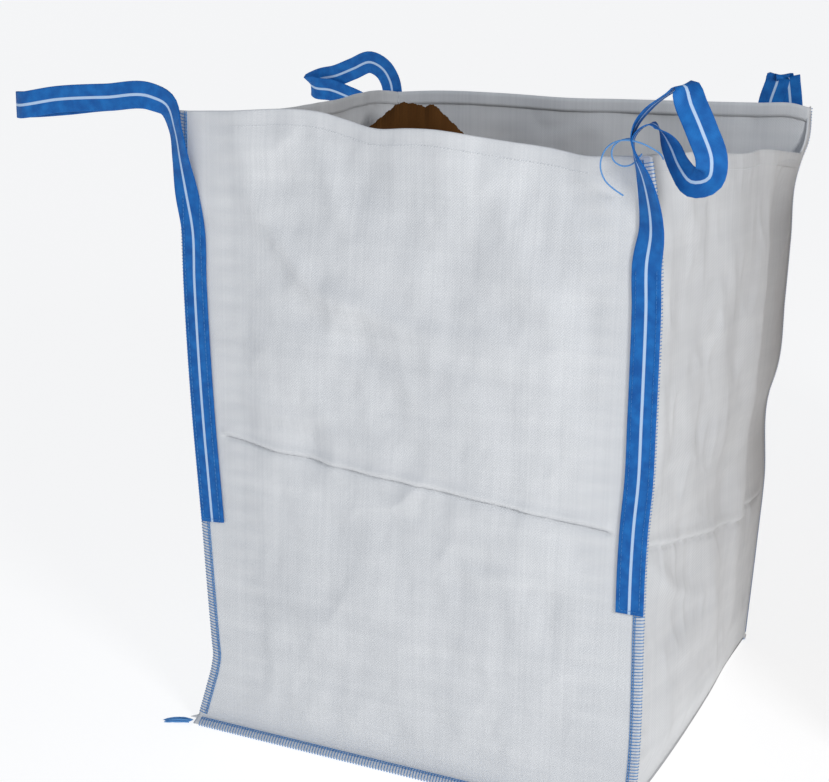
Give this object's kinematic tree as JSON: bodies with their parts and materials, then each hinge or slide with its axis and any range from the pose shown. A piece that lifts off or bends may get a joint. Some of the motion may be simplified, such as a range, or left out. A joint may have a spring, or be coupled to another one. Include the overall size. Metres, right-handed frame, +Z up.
{
  "type": "bulk bag",
  "caption": "Open-top bulk bag of woven cloth, overlocked seams outside, webbing straps sewn up the corners to lifting loops, propped open by a folded board.",
  "frame": {"origin": "centre of the base's underside, on the floor", "axes": "+Z up, +X to the right along the front panel, +Y towards the back panel"},
  "size_m": [1.393, 0.9709, 1.31],
  "materials": {
    "woven_cloth": "woven polypropylene, slight sheen",
    "webbing": "woven polypropylene webbing with a pale centre stripe",
    "overlock_thread": "multifilament thread",
    "sewing_thread": "multifilament thread",
    "cardboard": "brown corrugated board"
  },
  "bodies": {
    "root": {"back_panel": "woven_cloth", "base_panel": "woven_cloth", "front_panel": "woven_cloth", "hem_stitching_back": "sewing_thread", "hem_stitching_front": "sewing_thread", "hem_stitching_left": "sewing_thread", "hem_stitching_right": "sewing_thread", "left_panel": "woven_cloth", "overlock_back_left": "overlock_thread", "overlock_back_right": "overlock_thread", "overlock_base_back": "overlock_thread", "overlock_base_front": "overlock_thread", "overlock_base_left": "overlock_thread", "overlock_base_right": "overlock_thread", "overlock_front_left": "overlock_thread", "overlock_front_right": "overlock_thread", "right_panel": "woven_cloth", "strap_back_left_inner_leg": "webbing", "strap_back_left_outer_leg": "webbing", "strap_back_left_stitching": "sewing_thread", "strap_back_right_inner_leg": "webbing", "strap_back_right_outer_leg": "webbing", "strap_back_right_stitching": "sewing_thread", "strap_front_left_inner_leg": "webbing", "strap_front_left_outer_leg": "webbing", "strap_front_left_stitching": "sewing_thread", "strap_front_right_inner_leg": "webbing", "strap_front_right_outer_leg": "webbing", "strap_front_right_stitching": "sewing_thread", "thread_tail_base_left": "overlock_thread", "thread_tail_front_right": "overlock_thread"},
    "front_left_loop": {"loop_front_left": "webbing"},
    "front_right_loop": {"loop_front_right": "webbing"},
    "back_left_loop": {"loop_back_left": "webbing"},
    "back_right_loop": {"loop_back_right": "webbing"},
    "board": {"cardboard_prop": "cardboard"}
  },
  "joints": [
    {"name": "front_left_loop_swing", "type": "hinge", "parent": "root", "child": "front_left_loop", "pos_m": [-0.47, -0.4578, 1.21], "axis": [0, 1, 0], "range_deg": [-60, 95]},
    {"name": "front_right_loop_swing", "type": "hinge", "parent": "root", "child": "front_right_loop", "pos_m": [0.42, -0.4578, 1.182], "axis": [0, -1, 0], "range_deg": [0, 50]},
    {"name": "back_left_loop_swing", "type": "hinge", "parent": "root", "child": "back_left_loop", "pos_m": [-0.48, 0.4578, 1.182], "axis": [0, 1, 0], "range_deg": [-60, 90]},
    {"name": "back_right_loop_fold", "type": "hinge", "parent": "root", "child": "back_right_loop", "pos_m": [0.428, 0.459, 1.258], "axis": [1, 0, 0], "range_deg": [0, 170]},
    {"name": "board_lift_out", "type": "slide", "parent": "root", "child": "board", "axis": [0, 0, 1], "range_m": [0, 1.2]}
  ]
}
